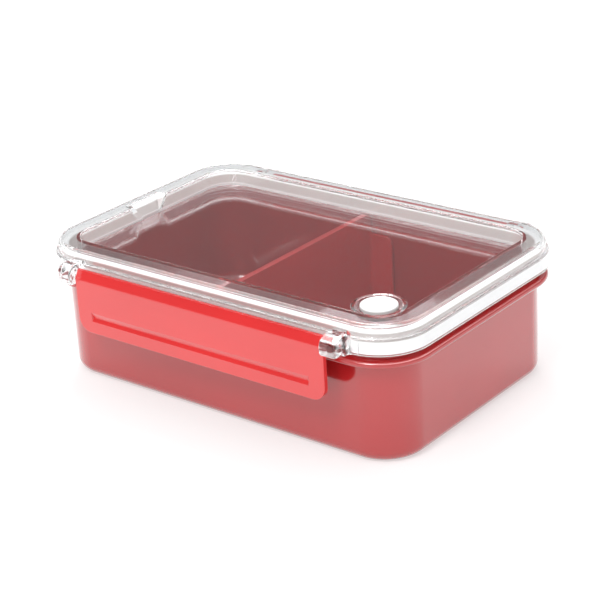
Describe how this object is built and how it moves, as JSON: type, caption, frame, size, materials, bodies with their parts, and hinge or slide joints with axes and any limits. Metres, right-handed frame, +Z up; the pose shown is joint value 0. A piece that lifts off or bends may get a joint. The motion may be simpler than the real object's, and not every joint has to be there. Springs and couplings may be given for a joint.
{
  "type": "bento lunch box",
  "caption": "Rectangular lunch box with a clear recessed lid, long side latches that hook under a flange, a soft air valve, a rim seal and a sliding divider.",
  "frame": {"origin": "centre of the flat underside of the box, on the table", "axes": "+X along the box towards the valve's end, -Y towards the near latch, +Z up"},
  "size_m": [0.203, 0.1528, 0.0644],
  "materials": {
    "red_shell": "glossy moulded red plastic",
    "red_latch": "glossy moulded bright red plastic",
    "clear_lid": "clear glossy plastic",
    "white_seal": "matt white silicone",
    "white_valve": "matt white silicone"
  },
  "bodies": {
    "box": {"box_body": "red_shell"},
    "lid": {"lid": "clear_lid", "gasket": "white_seal"},
    "front_latch": {"front_latch": "red_latch"},
    "back_latch": {"back_latch": "red_latch"},
    "valve": {"valve_plug": "white_valve"},
    "divider": {"divider": "red_shell"}
  },
  "joints": [
    {"name": "lid_lift", "type": "slide", "parent": "box", "child": "lid", "axis": [0, 0, 1], "range_m": [0, 0.06]},
    {"name": "front_latch_hinge", "type": "hinge", "parent": "lid", "child": "front_latch", "pos_m": [0, -0.0697, 0.0562], "axis": [-1, 0, 0], "range_deg": [0, 120]},
    {"name": "back_latch_hinge", "type": "hinge", "parent": "lid", "child": "back_latch", "pos_m": [0, 0.0697, 0.0562], "axis": [1, 0, 0], "range_deg": [0, 120]},
    {"name": "valve_lift", "type": "slide", "parent": "lid", "child": "valve", "axis": [0, 0, 1], "range_m": [0, 0.002]},
    {"name": "divider_slide", "type": "slide", "parent": "box", "child": "divider", "axis": [1, 0, 0], "range_m": [-0.056, 0.064]}
  ]
}
